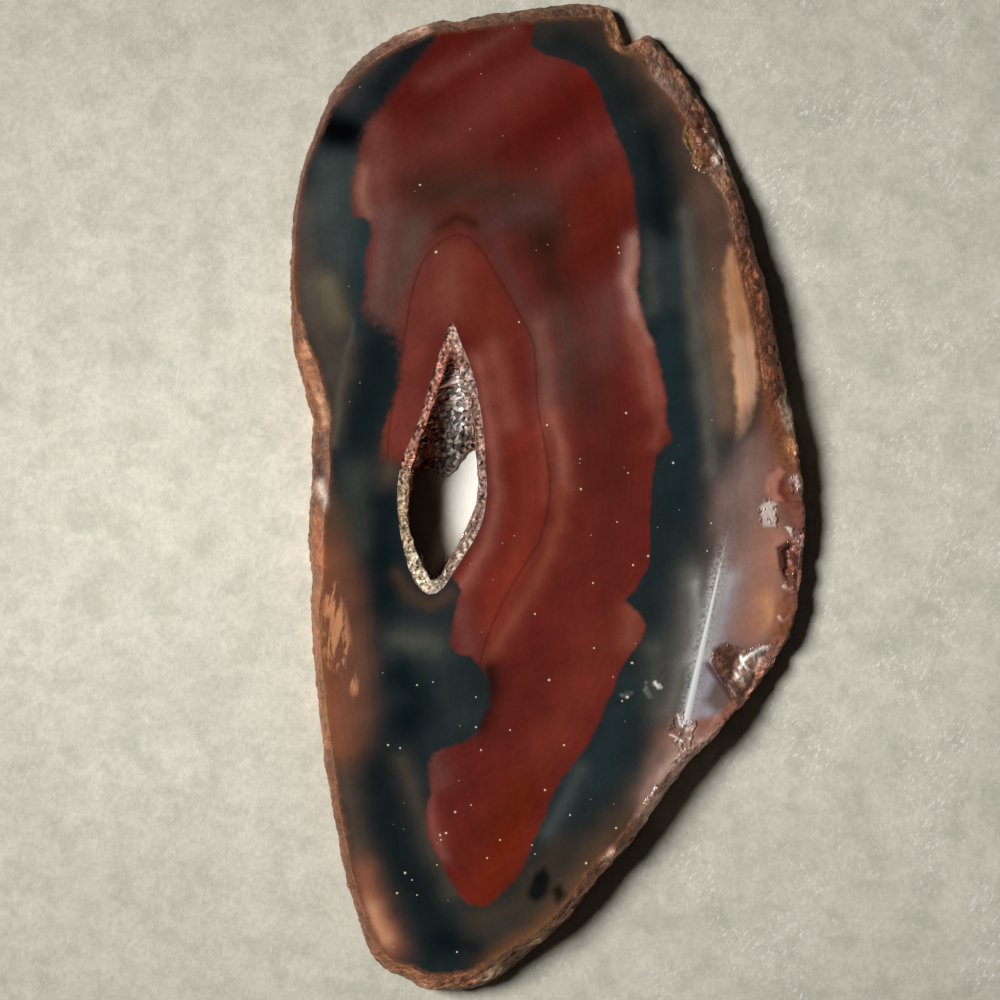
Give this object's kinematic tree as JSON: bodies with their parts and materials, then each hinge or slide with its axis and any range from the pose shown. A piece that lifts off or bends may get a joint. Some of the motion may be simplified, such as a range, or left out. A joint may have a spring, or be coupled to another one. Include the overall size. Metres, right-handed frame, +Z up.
{
  "type": "agate slice",
  "caption": "Flat slice of banded red and dark agate with a rough rind and a teardrop-shaped, crystal-lined hollow through it.",
  "frame": {"origin": "below the middle of the slice's outline, on the underside that it rests on", "axes": "+Z up out of the polished face, +Y along the slice's length towards the notched end, +X towards the bulging side with the ground facet"},
  "size_m": [0.0516, 0.099, 0.0053],
  "materials": {
    "agate": "polished face, rough rind",
    "quartz_crystals": "small sparkling crystals"
  },
  "bodies": {
    "root": {"agate_slice": "agate", "crystal_crust": "quartz_crystals"}
  },
  "joints": []
}
